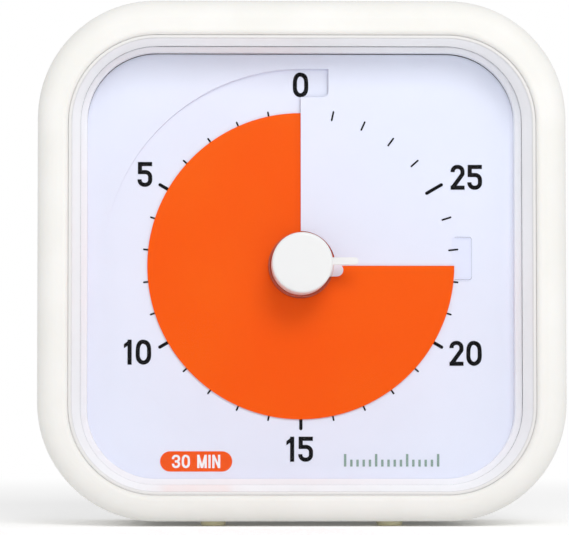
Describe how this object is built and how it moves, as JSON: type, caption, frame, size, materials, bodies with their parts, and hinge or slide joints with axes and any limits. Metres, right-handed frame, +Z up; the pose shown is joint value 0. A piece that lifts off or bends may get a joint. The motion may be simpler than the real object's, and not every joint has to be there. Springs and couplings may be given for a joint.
{
  "type": "visual countdown timer",
  "caption": "Square sleeved desk timer whose orange film disc winds back behind the dial as the set time runs out.",
  "frame": {"origin": "on the surface the timer stands on, under the middle of the case", "axes": "+Z up, the dial faces -Y, +X to the right as seen from the front"},
  "size_m": [0.092, 0.042, 0.0916],
  "materials": {
    "silicone": "moulded silicone, satin",
    "foot": "translucent silicone",
    "case_plastic": "moulded ABS, satin",
    "bezel_plastic": "moulded ABS, gloss",
    "clear_lens": "clear acrylic",
    "dial_sheet": "printed polypropylene sheet",
    "black_ink": "screen print",
    "orange_ink": "screen print",
    "white_ink": "screen print",
    "green_ink": "screen print",
    "orange_film": "dyed PET film",
    "clear_film": "clear PET film",
    "hub_plastic": "dyed acetal",
    "milky_plastic": "natural polypropylene",
    "knob_plastic": "moulded ABS, satin",
    "steel": "turned",
    "gear_plastic": "acetal",
    "movement_plastic": "moulded ABS",
    "core_steel": "laminated",
    "copper_wire": "enamelled wire",
    "board": "solder mask",
    "black_plastic": "moulded",
    "nickel": "nickel plated",
    "cell_wrap": "printed shrink film",
    "lead_red": "PVC",
    "lead_black": "PVC"
  },
  "bodies": {
    "case": {"sleeve": "silicone", "feet": "foot", "front_case": "case_plastic", "rear_case": "case_plastic", "inner_bezel": "bezel_plastic", "lens": "clear_lens", "dial": "dial_sheet", "dial_ticks": "black_ink", "dial_numerals": "black_ink", "range_badge": "orange_ink", "badge_lettering": "white_ink", "dial_scale": "green_ink", "dial_carrier": "case_plastic", "movement_cover": "movement_plastic", "movement_case": "movement_plastic", "movement_screws": "steel", "stator": "core_steel", "coil": "copper_wire", "circuit_board": "board", "board_screws": "steel", "quartz_crystal": "nickel", "buzzer": "black_plastic", "sound_switch": "nickel", "battery_cell": "cell_wrap", "positive_contact": "nickel", "negative_spring": "nickel", "case_screws": "steel", "lead_red": "lead_red", "lead_black": "lead_black"},
    "knob": {"knob": "knob_plastic", "spindle": "steel", "output_wheel": "gear_plastic", "hub_washer": "milky_plastic"},
    "disc": {"time_disc": "orange_film", "disc_tab": "clear_film", "disc_hub": "hub_plastic"},
    "third_wheel": {"third_wheel": "gear_plastic"},
    "second_wheel": {"second_wheel": "gear_plastic"},
    "rotor": {"rotor": "gear_plastic"},
    "sound_slider": {"sound_slider": "black_plastic"},
    "battery_door": {"battery_door": "case_plastic"}
  },
  "joints": [
    {"name": "knob_turn", "type": "hinge", "parent": "case", "child": "knob", "pos_m": [0, -0.0107, 0.04566], "axis": [0, 1, 0], "range_deg": [-90, 270]},
    {"name": "disc_feed", "type": "slide", "parent": "knob", "child": "disc", "axis": [0, 1, 0], "range_m": [-0.00024, 0.00069]},
    {"name": "third_spin", "type": "hinge", "parent": "case", "child": "third_wheel", "pos_m": [0, -0.003, 0.05466], "axis": [0, 1, 0], "range_deg": [-1351.35, 1351.35]},
    {"name": "second_spin", "type": "hinge", "parent": "case", "child": "second_wheel", "pos_m": [-0.00875, -0.003, 0.05466], "axis": [0, 1, 0], "range_deg": [-8108.1, 8108.1]},
    {"name": "rotor_spin", "type": "hinge", "parent": "case", "child": "rotor", "pos_m": [-0.00875, -0.003, 0.04591], "axis": [0, 1, 0], "range_deg": [-48648.6, 48648.6]},
    {"name": "sound_slide", "type": "slide", "parent": "case", "child": "sound_slider", "axis": [1, 0, 0], "range_m": [0, 0.003]},
    {"name": "door_lift", "type": "slide", "parent": "case", "child": "battery_door", "axis": [0, 1, 0], "range_m": [0, 0.02]}
  ],
  "couplings": [
    {"joint": "disc_feed", "follows": "knob_turn", "m_per_rad": 0.00014324},
    {"joint": "third_spin", "follows": "knob_turn", "ratio": -5},
    {"joint": "second_spin", "follows": "knob_turn", "ratio": 30},
    {"joint": "rotor_spin", "follows": "knob_turn", "ratio": -180}
  ]
}
